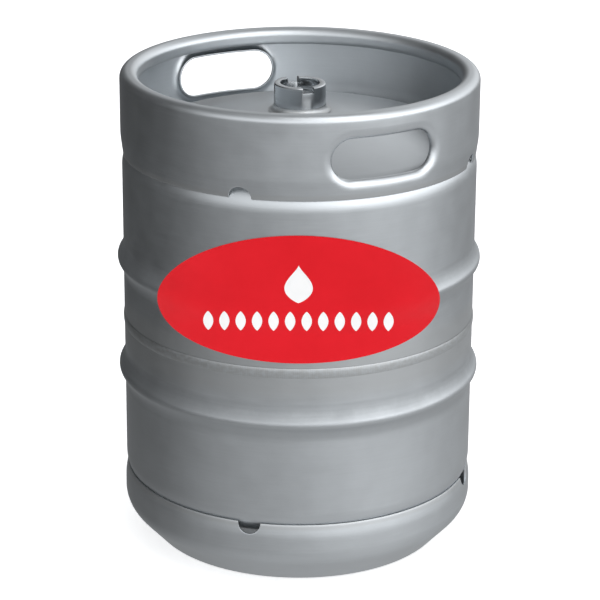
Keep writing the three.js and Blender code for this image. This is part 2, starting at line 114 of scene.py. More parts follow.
# Fillet weld inside a chime's edge. Lifts are heights over the knuckle of the vessel
FILLET_REACH = 1.5 * MM
FILLET_CORNER_LIFT = 0.3 * MM
FILLET_TOP_LIFT = 4.4 * MM
FILLET_FOOT_LIFT = 0.5 * MM
FILLET_NOTCH_GAP = 0.5 * MM
FILLET_SAG = 0.16

# Hand holes: the wall starts to bend in on a racetrack, and ends as a straight lip round a smaller one
HOLE_AZIMUTHS = (radians(28), radians(208))
HOLE_Z = 483 * MM
HOLE_HALF_STRAIGHT = 36.5 * MM
HOLE_OUTLINE_ROUND = 33.5 * MM
HOLE_BEND_SPREAD = 11.5 * MM
HOLE_BEND_DEPTH = 8 * MM
HOLE_LIP_DEPTH = 8.9 * MM
PATCH_HALF_HEIGHT = 36 * MM

# Drain notches
DRAIN_RADIUS = 12.5 * MM
TOP_DRAINS = [radians(-18.5 + 90 * i) for i in range(4)]
BOTTOM_DRAINS = [radians(-15.5 + 90 * i) for i in range(4)]

# Neck
NECK_BORE = 21.6 * MM
LUG_TRACK = (24.5 * MM, 503 * MM, 510 * MM)
LUG_SLOT_WIDTH = 13 * MM
LUG_SLOT_AZIMUTHS = (radians(20), radians(200))
RING_GROOVE = (22.9 * MM, 498.5 * MM, 500.4 * MM)
SEAT_STEP = (19 * MM, 486 * MM)

# Spear
FLANGE_DEPTH = 9 * MM
BARREL_RADIUS = 18.7 * MM
BARREL_WALL = 1.5 * MM
BODY_LIP = (14.2 * MM, 2.5 * MM)
BODY_POCKET_RADIUS = 17.6 * MM
GAS_WINDOW = (16 * MM, 14 * MM)
GAS_WINDOW_Z = 461 * MM
GASKET_CLEARANCE = 0.2 * MM
LOCK_RING_INNER = 20 * MM
LOCK_RING_SPLIT = radians(8)
STOP_GUIDE_RADIUS = 6.8 * MM
STOP_RIM_WALL = 1.3 * MM
STOP_FLOOR = (5 * MM, 6.7 * MM)
SEAL_EYE, SEAL_FLARE = 7 * MM, 3.4 * MM
SEAL_NECK = 13.9 * MM
SEAL_SHOULDER_DEPTH = 3.5 * MM
SEAL_SEAT_RISE = 3.1 * MM
RETAINER_INNER = 10.4 * MM
TUBE_RADIUS, TUBE_BORE = 6.5 * MM, 5.5 * MM
CUP_WALL, CUP_DEPTH, CUP_TAPER = 1.4 * MM, 22.9 * MM, 6 * MM

# Label, as seen on a plane that droops from the wall
LABEL_HALF = (150.2 * MM, 66.4 * MM)
LABEL_Z = 334.6 * MM
LABEL_DROOP = radians(19.4)
LABEL_FILM = 0.28 * MM
INK_LIFT, INK_FILM = 0.3 * MM, 0.1 * MM
TENT_HALF = 30 * MM
DROP_SPAN = (-3 * MM, 36 * MM)
DROP_SIZE = 15 * MM * 1.35
GRAINS = 12
GRAIN_SPACING = 17.2 * MM
GRAIN_SPAN = (-32 * MM, -12 * MM)
GRAIN_HALF_WIDTH = 5.4 * MM

BIG_SEGMENTS = 288
SMALL_SEGMENTS = 96
CREASE = radians(35)
TINY = 1e-9


# ---- mesh helpers

def make_object(name, verts, faces, crease=CREASE):
    """Smooth-shaded mesh object, with sharp edges where faces meet at more than the crease angle."""
    mesh = bpy.data.meshes.new(name)
    mesh.from_pydata([tuple(v) for v in verts], [], faces)
    mesh.validate()
    mesh.shade_smooth()
    mesh.set_sharp_from_angle(angle=crease)
    piece = bpy.data.objects.new(name, mesh)
    bpy.context.scene.collection.objects.link(piece)
    return piece


def bake_modifiers(piece):
    """Replaces the piece's mesh by its evaluated one and drops the modifiers."""
    depsgraph = bpy.context.evaluated_depsgraph_get()
    mesh = bpy.data.meshes.new_from_object(piece.evaluated_get(depsgraph))
    piece.modifiers.clear()
    piece.data = mesh
    mesh.shade_smooth()
    mesh.set_sharp_from_angle(angle=CREASE)
    return piece


def bevel(piece, width):
    modifier = piece.modifiers.new("bevel", "BEVEL")
    modifier.width = width
    modifier.segments = 2
    modifier.limit_method = "ANGLE"
    modifier.angle_limit = CREASE
    modifier.use_clamp_overlap = True
    return bake_modifiers(piece)


def cut(piece, cutters):
    for cutter in cutters:
        modifier = piece.modifiers.new("cut", "BOOLEAN")
        modifier.operation = "DIFFERENCE"
        modifier.solver = "EXACT"
        modifier.object = cutter
    bake_modifiers(piece)
    for cutter in cutters:
        bpy.data.objects.remove(cutter)
    return piece


def join(pieces):
    """One object from several, in the first one's name."""
    whole = bmesh.new()
    for piece in pieces:
        whole.from_mesh(piece.data)
    whole.to_mesh(pieces[0].data)
    whole.free()
    for piece in pieces[1:]:
        bpy.data.objects.remove(piece)
    return pieces[0]


def arc(centre_r, centre_z, radius, start, end, steps):
    """Points of an arc in the radius-height plane, both ends included."""
    angles = [start + (end - start) * i / steps for i in range(steps + 1)]
    return [(centre_r + radius * cos(a), centre_z + radius * sin(a)) for a in angles]


def offset_path(path, distance):
    """The same path moved to the left of its direction."""
    here = np.array(path)
    step = np.diff(here, axis=0)
    step /= np.linalg.norm(step, axis=1)[:, None]
    before = np.vstack([step[:1], step])
    after = np.vstack([step, step[-1:]])
    along = before + after
    along /= np.linalg.norm(along, axis=1)[:, None]
    reach = distance / np.sum(along * before, axis=1)
    moved = here + np.stack([-along[:, 1], along[:, 0]], axis=1) * reach[:, None]
    moved[:, 0] = np.maximum(moved[:, 0], 0)
    return [tuple(p) for p in moved]


def sheet(path, wall):
    """Closed loop of sheet metal whose outer face follows the path."""
    return path + offset_path(path, wall)[::-1]


def lathe(name, loop, segments, start=0.0, sweep=TURN, wobble=None):
    """Closed loop of (radius, height) turned about Z. Part of a turn gets flat end caps.
    wobble(azimuth, i) adds to the radius of point i."""
    area = sum(a[0] * b[1] - b[0] * a[1] for a, b in zip(loop, loop[1:] + loop[:1]))
    points = loop if area > 0 else loop[::-1]
    count = len(points)
    whole = sweep >= TURN - TINY
    columns = segments if whole else segments + 1
    verts = []
    for column in range(columns):
        azimuth = start + sweep * column / segments
        for i, (radius, z) in enumerate(points):
            r = radius + (wobble(azimuth, i) if wobble else 0)
            verts.append((r * sin(azimuth), -r * cos(azimuth), z))
    faces = []
    for column in range(segments):
        near, far = column * count, ((column + 1) % columns) * count
        for i in range(count):
            j = (i + 1) % count
            ring = [near + i, far + i, far + j, near + j]
            on_axis = points[i][0] < TINY, points[j][0] < TINY
            if all(on_axis):
                continue
            if on_axis[0]:
                ring = [i, far + j, near + j]
            elif on_axis[1]:
                ring = [near + i, far + i, j]
            faces.append(ring)
    if not whole:
        last = segments * count
        faces.append(list(range(count)))
        faces.append([last + i for i in reversed(range(count))])
    # Only the first column's points on the axis are used, so the others are dropped.
    used = sorted({v for face in faces for v in face})
    renumber = {v: k for k, v in enumerate(used)}
    kept = [verts[v] for v in used]
    return make_object(name, kept, [[renumber[v] for v in face] for face in faces])


def turned(name, corners, width, start=0.0, sweep=TURN):
    """Machined ring from a coarse profile, with its edges broken."""
    return bevel(lathe(name, corners, SMALL_SEGMENTS, start, sweep), width)


def flat_ring(name, node, inner, width, start=0.0, sweep=TURN):
    """Ring of rectangular section in the box of its CAD node."""
    (_, _, bottom), (outer, _, top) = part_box(node)
    corners = [(inner, bottom), (outer, bottom), (outer, top), (inner, top)]
    return turned(name, corners, width, start, sweep)


def block(outline, near, far, azimuth, z):
    """Prism on a closed outline in X and Z, from one distance in front of the axis to another."""
    count = len(outline)
    verts = []
    for distance in (near, far):
        for x, up in outline:
            across = cos(azimuth) * x + sin(azimuth) * distance
            along = sin(azimuth) * x - cos(azimuth) * distance
            verts.append((across, along, z + up))
    faces = [list(range(count))[::-1], list(range(count, 2 * count))]
    faces += [[i, (i + 1) % count, count + (i + 1) % count, count + i] for i in range(count)]
    return make_object("cutter", verts, faces)


def racetrack_outline(width, height, steps=12):
    end = (width - height) / 2
    right = arc(end, 0, height / 2, -pi / 2, pi / 2, steps)
    return right + arc(-end, 0, height / 2, pi / 2, 1.5 * pi, steps)


def rectangle_outline(width, height):
    x, z = width / 2, height / 2
    return [(-x, -z), (x, -z), (x, z), (-x, z)]


# ---- profiles

def dome_path(inner_radius, steps=12):
    """From the shoulder to a radius near the middle, as (radius, rise above the shoulder)."""
    centre = BODY_RADIUS - KNUCKLE_RADIUS
    meet = acos(centre / (CROWN_RADIUS - KNUCKLE_RADIUS))
    drop = sin(meet) * (CROWN_RADIUS - KNUCKLE_RADIUS)
    end = acos(inner_radius / CROWN_RADIUS)
    knuckle = arc(centre, 0, KNUCKLE_RADIUS, 0, meet, 2 * steps)
    return knuckle + arc(0, -drop, CROWN_RADIUS, meet, end, steps)[1:]


def crown_z(radius):
    return SHOULDER_HIGH_Z + dome_path(radius)[-1][1]


def knuckle_rise(radius, clearance=0.0):
    reach = radius - (BODY_RADIUS - KNUCKLE_RADIUS)
    return sqrt((KNUCKLE_RADIUS + clearance) ** 2 - reach**2)


def hoop_path(z, steps=10):
    """Outer face of a rolling hoop: a round crest that runs into the wall through hollow flanks."""
    both = HOOP_CREST_ROUND + HOOP_FLANK_ROUND
    sweep = acos(1 - (HOOP_RADIUS - BODY_RADIUS) / both)
    foot = both * sin(sweep)
    flank_r = BODY_RADIUS + HOOP_FLANK_ROUND
    crest = arc(HOOP_RADIUS - HOOP_CREST_ROUND, z, HOOP_CREST_ROUND, -sweep, sweep, steps)
    lower = arc(flank_r, z - foot, HOOP_FLANK_ROUND, pi, pi - sweep, steps)
    upper = arc(flank_r, z + foot, HOOP_FLANK_ROUND, pi + sweep, pi, steps)
    return lower[:-1] + crest + upper[1:]


def straight(start, end, steps):
    """The points between two ends, without the ends."""
    return [tuple(np.array(start) + (np.array(end) - np.array(start)) * i / steps) for i in range(1, steps)]


# ---- vessel

def upper_shell():
    dome = [(r, SHOULDER_HIGH_Z + rise) for r, rise in dome_path(NECK_RADIUS + GAP)]
    girth = (BODY_RADIUS, GIRTH_Z + GAP / 2)
    hoop = hoop_path(HOOP_ZS[1])
    path = [girth] + straight(girth, hoop[0], 4) + hoop + straight(hoop[-1], dome[0], 6) + dome
    return lathe("upper_shell_sheet", sheet(path, SHELL_WALL), BIG_SEGMENTS)


def lower_shell():
    dome = [(r, SHOULDER_LOW_Z - rise) for r, rise in dome_path(0)][::-1]
    dome[0] = (0.0, dome[0][1])
    girth = (BODY_RADIUS, GIRTH_Z - GAP / 2)
    hoop = hoop_path(HOOP_ZS[0])
    path = dome + straight(dome[-1], hoop[0], 6) + hoop + straight(hoop[-1], girth, 4) + [girth]
    loop = sheet(path, SHELL_WALL)
    loop[-1] = (0.0, loop[-1][1])
    return lathe("lower_shell_sheet", loop, BIG_SEGMENTS)


def girth_weld():
    """Flat bead over the girth joint, a little uneven along its edges."""
    base = BODY_RADIUS + GAP
    # A little smaller than the CAD's bead, so that the wobble stays inside its box.
    rise = (high("girth_weld").x - base) * 0.93
    half = (high("girth_weld").z - low("girth_weld").z) / 2 * 0.92
    steps, flatness = 10, 2.6
    loop = []
    for i in range(steps + 1):
        t = -1 + 2 * i / steps
        loop.append((base + rise * (1 - abs(t) ** flatness), GIRTH_Z + half * t))

    def wobble(azimuth, i):
        if i in (0, steps):
            return 0
        where = Vector((sin(azimuth) * 14, cos(azimuth) * 14, i * 0.6))
        return 0.05 * MM * noise.noise(where)

    return lathe("girth_weld_bead", loop, 2 * BIG_SEGMENTS, wobble=wobble)


def fillet_bead(name, corner, top, foot, start, sweep, steps=8, segments=BIG_SEGMENTS // 4):
    """Run of hollow fillet from a point on the wall to its foot, closed through their corner."""
    loop = [corner]
    for i in range(steps + 1):
        t = i / steps
        sag = FILLET_SAG * sin(pi * t)
        r = top[0] + (foot[0] - top[0]) * t
        z = top[1] + (foot[1] - top[1]) * t
        loop.append((r + (corner[0] - r) * sag, z + (corner[1] - z) * sag))
    return lathe(name, loop, segments, start, sweep)


def chime_weld(name, shoulder_z, direction, notches):
    """Fillet inside a chime's edge, in runs that stop at the drain notches."""
    wall = CHIME_EDGE_RADIUS - CHIME_WALL - GAP

    def over_knuckle(radius, lift):
        return radius, shoulder_z + direction * (knuckle_rise(radius, GAP) + lift)

    corner = over_knuckle(wall, FILLET_CORNER_LIFT)
    top = over_knuckle(wall, FILLET_TOP_LIFT)
    foot = over_knuckle(wall - FILLET_REACH, FILLET_FOOT_LIFT)
    clear = (DRAIN_RADIUS + FILLET_NOTCH_GAP) / wall
    runs = []
    for start, end in zip(notches, notches[1:] + [notches[0] + TURN]):
        runs.append(fillet_bead(name, corner, top, foot, start + clear, end - start - 2 * clear))
    return join(runs)


# ---- chimes

def wall_radius(z, edge_z, direction, lean_height):
    """Outer radius of a chime's wall: upright, and leaning in by a few millimetres at the welded edge."""
    slope = (CHIME_RADIUS - CHIME_EDGE_RADIUS) / lean_height
    past = direction * (edge_z + direction * lean_height - z)
    softness = 3 * MM
    return CHIME_RADIUS - slope * 0.5 * (past + sqrt(past**2 + softness**2))


def azimuth_columns(notches):
    """Even azimuths from the first hand hole, with close ones round each notch's half-moon."""
    first = HOLE_AZIMUTHS[0]
    columns = [first + TURN * i / BIG_SEGMENTS for i in range(BIG_SEGMENTS)]
    margin = 1.2 * MM
    for notch in notches:
        reach = asin((DRAIN_RADIUS + 1.6 * margin) / CHIME_EDGE_RADIUS)
        columns = [a for a in columns if abs((a - notch + pi) % TURN - pi) > reach]
        across = [-DRAIN_RADIUS - margin, DRAIN_RADIUS + margin]
        across += [DRAIN_RADIUS * sin(radians(a)) for a in range(-90, 91, 6)]
        columns += [notch + asin(x / CHIME_EDGE_RADIUS) for x in across]
    return sorted((a - first) % TURN + first for a in columns)


def notch_depth(azimuth, notches):
    """How far a half-moon notch cuts in from the edge at this azimuth."""
    for notch in notches:
        away = (azimuth - notch + pi) % TURN - pi
        across = CHIME_EDGE_RADIUS * sin(away)
        if abs(away) < 0.5 and abs(across) < DRAIN_RADIUS:
            return sqrt(DRAIN_RADIUS**2 - across**2)
    return 0.0


def racetrack_point(fraction, inset):
    """Point on the first quarter of the hand hole's outline, moved inwards. Fraction 0 is its far right."""
    quarter_arc = HOLE_OUTLINE_ROUND * pi / 2
    along = fraction * (quarter_arc + HOLE_HALF_STRAIGHT)
    radius = HOLE_OUTLINE_ROUND - inset
    if along > quarter_arc:
        return HOLE_HALF_STRAIGHT - (along - quarter_arc), radius
    angle = along / HOLE_OUTLINE_ROUND
    return HOLE_HALF_STRAIGHT + radius * cos(angle), radius * sin(angle)


def hole_rings(boundary, half_width, half_height):
    """Rings of (across, up, depth) from a rectangle's boundary to the end of the hand hole's lip."""
    quarters = []
    for across, up in boundary:
        on_side = abs(abs(across) - half_width) < 1e-7
        distance = abs(up) if on_side else half_height + half_width - abs(across)
        signs = (copysign(1, across), copysign(1, up))
        quarters.append((distance / (half_width + half_height), signs))

    def outline(inset):
        for fraction, (sx, sz) in quarters:
            x, z = racetrack_point(fraction, inset)
            yield x * sx, z * sz

    rings = []
    flat_steps, bend_steps, lip_steps = 5, 9, 2
    for i in range(1, flat_steps + 1):
        t = i / flat_steps
        pairs = zip(boundary, outline(0))
        rings.append([(a[0] + (b[0] - a[0]) * t, a[1] + (b[1] - a[1]) * t, 0.0) for a, b in pairs])
    for i in range(1, bend_steps + 1):
        angle = pi / 2 * i / bend_steps
        depth = HOLE_BEND_DEPTH * (1 - cos(angle))
        rings.append([(x, z, depth) for x, z in outline(HOLE_BEND_SPREAD * sin(angle))])
    for i in range(1, lip_steps + 1):
        depth = HOLE_BEND_DEPTH + (HOLE_LIP_DEPTH - HOLE_BEND_DEPTH) * i / lip_steps
        rings.append([(x, z, depth) for x, z in outline(HOLE_BEND_SPREAD)])
    return rings


def on_wall(azimuth, z, radius, depth=0.0, inward=0.0):
    """Point on the chime's wall, pushed by depth along the direction that faces azimuth inward."""
    x = radius * sin(azimuth) - depth * sin(inward)
    y = -radius * cos(azimuth) + depth * cos(inward)
    return x, y, z


def chime(name, edge_z, far_z, direction, lean_height, notches, rolled, holes):
    """Collar of sheet metal: a wall from its notched edge to far_z, then the rolled profile.
    Direction is 1 for the top collar and -1 for the bottom one."""
    columns = azimuth_columns(notches)
    height = abs(far_z - edge_z)
    patch_low, patch_high = [(HOLE_Z + side * PATCH_HALF_HEIGHT - edge_z) / height for side in (-1, 1)]
    patch_rows, plain_rows = 24, 12
    if holes:
        shares = [0, patch_low / 2]
        shares += [patch_low + (patch_high - patch_low) * i / patch_rows for i in range(patch_rows + 1)]
        shares += [1]
    else:
        shares = [i / plain_rows for i in range(plain_rows + 1)]
    verts = []
    for azimuth in columns:
        start = edge_z + direction * notch_depth(azimuth, notches)
        for share in shares:
            z = start + (far_z - start) * share
            verts.append(on_wall(azimuth, z, wall_radius(z, edge_z, direction, lean_height)))
        verts += [on_wall(azimuth, z, r) for r, z in rolled]
    rows = len(shares) + len(rolled)

    def index(column, row):
        return (column % len(columns)) * rows + row

    skipped = set()
    faces = []

    def quad(a, b, c, d):
        faces.append([a, b, c, d] if direction > 0 else [d, c, b, a])

    half_columns = 19  # half the width, in columns, of the patch that a hand hole takes up
    for hole in holes:
        middle = min(range(len(columns)), key=lambda i: abs((columns[i] - hole + pi) % TURN - pi))
        left, right = middle - half_columns, middle + half_columns
        bottom, top = 2, 2 + patch_rows
        skipped |= {(c % len(columns), r) for c in range(left, right) for r in range(bottom, top)}
        centre_row = bottom + patch_rows // 2
        loop = [(right, r) for r in range(centre_row, top)]
        loop += [(c, top) for c in range(right, left, -1)]
        loop += [(left, r) for r in range(top, bottom, -1)]
        loop += [(c, bottom) for c in range(left, right)]
        loop += [(right, r) for r in range(bottom, centre_row)]
        ring = [index(c, r) for c, r in loop]
        boundary = []
        for c, r in loop:
            across = CHIME_RADIUS * sin((columns[c % len(columns)] - hole + pi) % TURN - pi)
            boundary.append((across, verts[index(c, r)][2] - HOLE_Z))
        half_width = max(a for a, _ in boundary)
        half_height = max(u for _, u in boundary)
        for points in hole_rings(boundary, half_width, half_height):
            inner = []
            for across, up, depth in points:
                azimuth = hole + asin(across / CHIME_RADIUS)
                z = HOLE_Z + up
                radius = wall_radius(z, edge_z, direction, lean_height)
                inner.append(len(verts))
                verts.append(on_wall(azimuth, z, radius, depth, hole))
            for i in range(len(ring)):
                j = (i + 1) % len(ring)
                quad(ring[i], ring[j], inner[j], inner[i])
            ring = inner
    for column in range(len(columns)):
        for row in range(rows - 1):
            if (column, row) not in skipped:
                near, far = index(column, row), index(column + 1, row)
                quad(near, far, far + 1, near + 1)
    piece = make_object(name, verts, faces)
    solidify = piece.modifiers.new("wall", "SOLIDIFY")
    solidify.thickness = CHIME_WALL
    solidify.offset = -1
    solidify.use_even_offset = True
    return bevel(bake_modifiers(piece), CHIME_EDGE_BEVEL)


def top_chime():
    edge_z = SHOULDER_HIGH_Z + CHIME_EDGE_RISE
    round_z = KEG_HEIGHT - RIM_ROUND
    outer = CHIME_RADIUS - RIM_ROUND
    inner = outer - RIM_FLAT
    rolled = arc(outer, round_z, RIM_ROUND, 0, pi / 2, 12)[1:]
    rolled += [(outer - RIM_FLAT / 2, KEG_HEIGHT)]
    rolled += arc(inner, round_z, RIM_ROUND, pi / 2, pi, 12)
    rolled += arc(inner, round_z - RIM_TAIL, RIM_ROUND, pi, pi + CURL_END, 6)
    return chime("top_chime_sheet", edge_z, round_z, 1, CHIME_LEAN_HEIGHT, TOP_DRAINS, rolled, HOLE_AZIMUTHS)


def bottom_chime():
    edge_z = SHOULDER_LOW_Z - CHIME_EDGE_RISE
    toe_centre = CHIME_RADIUS - TOE_ROUND
    foot_inner = FOOT_RADIUS - FOOT_FLAT
    # The straight slope touches both the toe's arc and the foot's arc, at the same angle on each.
    span = hypot(toe_centre - FOOT_RADIUS, TOE_Z - FOOT_ROUND)
    lean = atan2(TOE_Z - FOOT_ROUND, toe_centre - FOOT_RADIUS)
    touch = lean - acos((FOOT_ROUND - TOE_ROUND) / span)
    rolled = arc(toe_centre, TOE_Z, TOE_ROUND, 0, touch, 20)[1:]
    foot = arc(FOOT_RADIUS, FOOT_ROUND, FOOT_ROUND, touch, -pi / 2, 8)
    rolled += straight(rolled[-1], foot[0], 4) + foot
    rolled += arc(foot_inner, FOOT_ROUND, FOOT_ROUND, 1.5 * pi, pi, 12)
    rolled += arc(foot_inner, FOOT_ROUND + FOOT_TAIL, FOOT_ROUND, pi, pi - CURL_END, 6)
    return chime("bottom_chime_sheet", edge_z, TOE_Z, -1, TOE_LEAN_HEIGHT, BOTTOM_DRAINS, rolled, ())


# ---- neck and spear

def neck_boss():
    track_r, track_low, track_high = LUG_TRACK
    groove_r, groove_low, groove_high = RING_GROOVE
    step_r, step_z = SEAT_STEP
    foot_break, top_break = 1.5 * MM, 1 * MM
    profile = [
        (step_r, NECK_BOTTOM_Z), (NECK_RADIUS - foot_break, NECK_BOTTOM_Z),
        (NECK_RADIUS, NECK_BOTTOM_Z + foot_break), (NECK_RADIUS, NECK_TOP_Z - top_break),
        (NECK_RADIUS - top_break, NECK_TOP_Z), (NECK_BORE, NECK_TOP_Z),
        (NECK_BORE, track_high), (track_r, track_high), (track_r, track_low), (NECK_BORE, track_low),
        (NECK_BORE, groove_high), (groove_r, groove_high), (groove_r, groove_low), (NECK_BORE, groove_low),
        (NECK_BORE, step_z), (step_r, step_z),
    ]
    neck = lathe("neck_boss_turning", profile, SMALL_SEGMENTS)
    outline = rectangle_outline(LUG_SLOT_WIDTH, 2 * (NECK_TOP_Z - track_high))
    past = 6 * MM
    near, far = NECK_BORE - past, NECK_RADIUS + past
    cut(neck, [block(outline, near, far, azimuth, NECK_TOP_Z) for azimuth in LUG_SLOT_AZIMUTHS])
    return bevel(neck, 0.35 * MM)


def neck_weld():
    """Hollow fillet from the crown to the neck, with fine unevenness."""
    inner = NECK_RADIUS + GAP
    reach = high("neck_weld").x - inner
    top = high("neck_weld").z
    corner = (inner, crown_z(inner) + 2 * GAP)
    foot = (inner + reach, crown_z(inner + reach) + 2 * GAP)
    steps = 10
    loop = [corner, foot]
    for i in range(1, steps + 1):
        angle = pi / 2 * i / steps
        loop.append((foot[0] - reach * sin(angle), foot[1] + (top - foot[1]) * (1 - cos(angle))))
    return lathe("neck_weld_bead", loop, SMALL_SEGMENTS)


def spear_body():
    low_z, top_z = low("spear_body").z, high("spear_body").z
    flange_low = top_z - FLANGE_DEPTH
    flange_r = NECK_BORE - GAP
    bore = BARREL_RADIUS - BARREL_WALL
    lip_r, lip_low = BODY_LIP[0], top_z - BODY_LIP[1]
    profile = [
        (bore, low_z), (BARREL_RADIUS, low_z), (BARREL_RADIUS, flange_low), (flange_r, flange_low),
        (flange_r, top_z), (lip_r, top_z), (lip_r, lip_low), (BODY_POCKET_RADIUS, lip_low),
        (BODY_POCKET_RADIUS, flange_low), (bore, flange_low - BARREL_WALL),
    ]
    body = lathe("spear_body_turning", profile, SMALL_SEGMENTS)
    window = racetrack_outline(*GAS_WINDOW)
    near, far = BARREL_RADIUS - 8 * MM, BARREL_RADIUS + 4 * MM
    cutters = [block(window, near, far, TURN / 4 * i, GAS_WINDOW_Z) for i in range(4)]
    return bevel(cut(body, cutters), 0.25 * MM)


def body_gasket():
    return flat_ring("body_gasket_ring", "body_gasket", SEAT_STEP[0] + GASKET_CLEARANCE, 0.6 * MM)


def lock_ring():
    """Ring with its split at +X."""
    start, sweep = TURN / 4 + LOCK_RING_SPLIT, TURN - 2 * LOCK_RING_SPLIT
    return flat_ring("lock_ring_wire", "lock_ring", LOCK_RING_INNER, 0.3 * MM, start, sweep)


def spring_stop():
    (_, _, bottom), (rim, _, top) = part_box("spring_stop")
    guide, inside = STOP_GUIDE_RADIUS, rim - STOP_RIM_WALL
    floor_low, floor_high = [bottom + rise for rise in STOP_FLOOR]
    profile = [
        (guide, bottom), (guide + 1.5 * MM, bottom), (guide + 2 * MM, floor_low), (rim, floor_low),
        (rim, top), (inside, top), (inside, floor_high), (guide, floor_high),
    ]
    return turned("spring_stop_cup", profile, 0.3 * MM)


def gas_seal():
    (_, _, bottom), (outer, _, top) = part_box("gas_seal")
    shoulder = top - SEAL_SHOULDER_DEPTH
    profile = [
        (SEAL_EYE + SEAL_FLARE, bottom), (outer, bottom), (outer, shoulder), (SEAL_NECK, shoulder),
        (SEAL_NECK, top - 0.2 * MM), (SEAL_NECK - 3.4 * MM, top),
        (SEAL_EYE, top), (SEAL_EYE, bottom + SEAL_SEAT_RISE),
    ]
    return turned("gas_seal_moulding", profile, 0.9 * MM)


def seal_retainer():
    return flat_ring("seal_retainer_ring", "seal_retainer", RETAINER_INNER, 0.3 * MM)


def down_tube():
    (_, _, bottom), (head, _, top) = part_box("down_tube")
    cup, floor = head - CUP_WALL, top - CUP_DEPTH
    profile = [
        (TUBE_BORE, bottom), (TUBE_RADIUS, bottom), (TUBE_RADIUS, floor - CUP_TAPER),
        (head, floor), (head, top), (cup, top), (cup, floor), (TUBE_BORE, floor),
    ]
    return turned("down_tube_drawn", profile, 0.25 * MM)


def product_ball():
    bottom, top = low("product_ball").z, high("product_ball").z
    radius = (top - bottom) / 2
    path = arc(0, bottom + radius, radius, -pi / 2, pi / 2, 32)
    path[0] = (0.0, bottom)
    path[-1] = (0.0, top)
    return lathe("product_ball_polished", path, 64)


def coil_spring(name, node, wire, turns, steps=48, sides=12):
    """Compression spring inside the box of its CAD node: round wire, its last turns lying closer together."""
    (_, _, bottom), (outer, _, top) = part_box(node)
    mean = outer - wire / 2
    ends = 0.12  # how much closer the end turns lie than the others
    pitch_low = bottom + wire / 2
    height = top - bottom - wire
    count = round(turns * steps)
    rings = []
    for i in range(count + 1):
        t = i / count
        eased = t + ends / TURN * -sin(TURN * t)
        angle = turns * TURN * t
        centre = np.array((mean * cos(angle), mean * sin(angle), pitch_low + height * eased))
        slope = height / turns * (1 - ends * cos(TURN * t))
        tangent = np.array((-sin(angle) * mean * TURN, cos(angle) * mean * TURN, slope))
        tangent /= np.linalg.norm(tangent)
        out = np.array((cos(angle), sin(angle), 0.0))
        up = np.cross(out, tangent)
        around = np.arange(sides) * TURN / sides
        rings.append([centre + wire / 2 * (cos(a) * out - sin(a) * up) for a in around])
    verts = [p for ring in rings for p in ring]
    faces = []
    for i in range(count):
        for k in range(sides):
            j = (k + 1) % sides
            faces.append([i * sides + k, i * sides + j, (i + 1) * sides + j, (i + 1) * sides + k])
    faces.append(list(range(sides))[::-1])
    faces.append([count * sides + k for k in range(sides)])
    return make_object(name, verts, faces)


# ---- label

def shell_radius_under_label(z):
    """The film leaves the wall well before the hoop and crosses it in one smooth swell."""
    away = abs(z - HOOP_ZS[1])
    if away > TENT_HALF:
        return BODY_RADIUS
    return BODY_RADIUS + (HOOP_RADIUS - BODY_RADIUS) * 0.5 * (1 + cos(pi * away / TENT_HALF))


def on_label(u, v, lift):
    """Point of the tilted plane of the label, dropped on the shell along that plane's normal."""
    plane_z = LABEL_Z + v * cos(LABEL_DROOP)
    plane_y = -BODY_RADIUS + v * sin(LABEL_DROOP)
    z = plane_z
    for _ in range(30):
        radius = shell_radius_under_label(z) + GAP + lift
        y = -sqrt(radius**2 - u**2)
        z = plane_z - (y - plane_y) * tan(LABEL_DROOP)
    return u, y, z


def film(verts, faces, rows, base, skin):
    """Closed sheet over a grid of label points: rows is a list of rows of (u, v)."""
    first = len(verts)
    width = len(rows[0])
    for lift in (base + skin, base):
        verts += [on_label(u, v, lift) for row in rows for u, v in row]
    under = len(rows) * width

    def at(i, k, side):
        return first + side * under + i * width + k

    made = []
    for i in range(len(rows) - 1):
        for k in range(width - 1):
            made.append([at(i, k, 0), at(i, k + 1, 0), at(i + 1, k + 1, 0), at(i + 1, k, 0)])
            made.append([at(i + 1, k, 1), at(i + 1, k + 1, 1), at(i, k + 1, 1), at(i, k, 1)])
    last = len(rows) - 1
    for k in range(width - 1):
        made.append([at(0, k, 1), at(0, k + 1, 1), at(0, k + 1, 0), at(0, k, 0)])
        made.append([at(last, k, 0), at(last, k + 1, 0), at(last, k + 1, 1), at(last, k, 1)])
    for i in range(last):
        made.append([at(i, 0, 0), at(i + 1, 0, 0), at(i + 1, 0, 1), at(i, 0, 1)])
        far = width - 1
        made.append([at(i + 1, far, 0), at(i, far, 0), at(i, far, 1), at(i + 1, far, 1)])
    faces += made
    return len(made)


def rows_between(half_width, low_v, high_v, centre_u, rows, columns):
    """Grid of a shape that is symmetric about centre_u, from its half-width at each share of its height."""
    grid = []
    for i in range(rows + 1):
        share = 0.5 - 0.5 * cos(pi * i / rows)
        reach = max(half_width(share), 1e-5)
        v = low_v + (high_v - low_v) * share
        grid.append([(centre_u + reach * (2 * k / columns - 1), v) for k in range(columns + 1)])
    return grid


def oval(share):
    return LABEL_HALF[0] * sqrt(max(1 - (2 * share - 1) ** 2, 0))


def drop(share):
    """Half-width of a falling drop, round below and pointed above."""
    return DROP_SIZE * sin(pi * share) ** 0.8 * (1 - share) ** 0.55


def grain(share):
    """Half-width of a grain of barley."""
    return GRAIN_HALF_WIDTH * sin(pi * share) ** 0.75


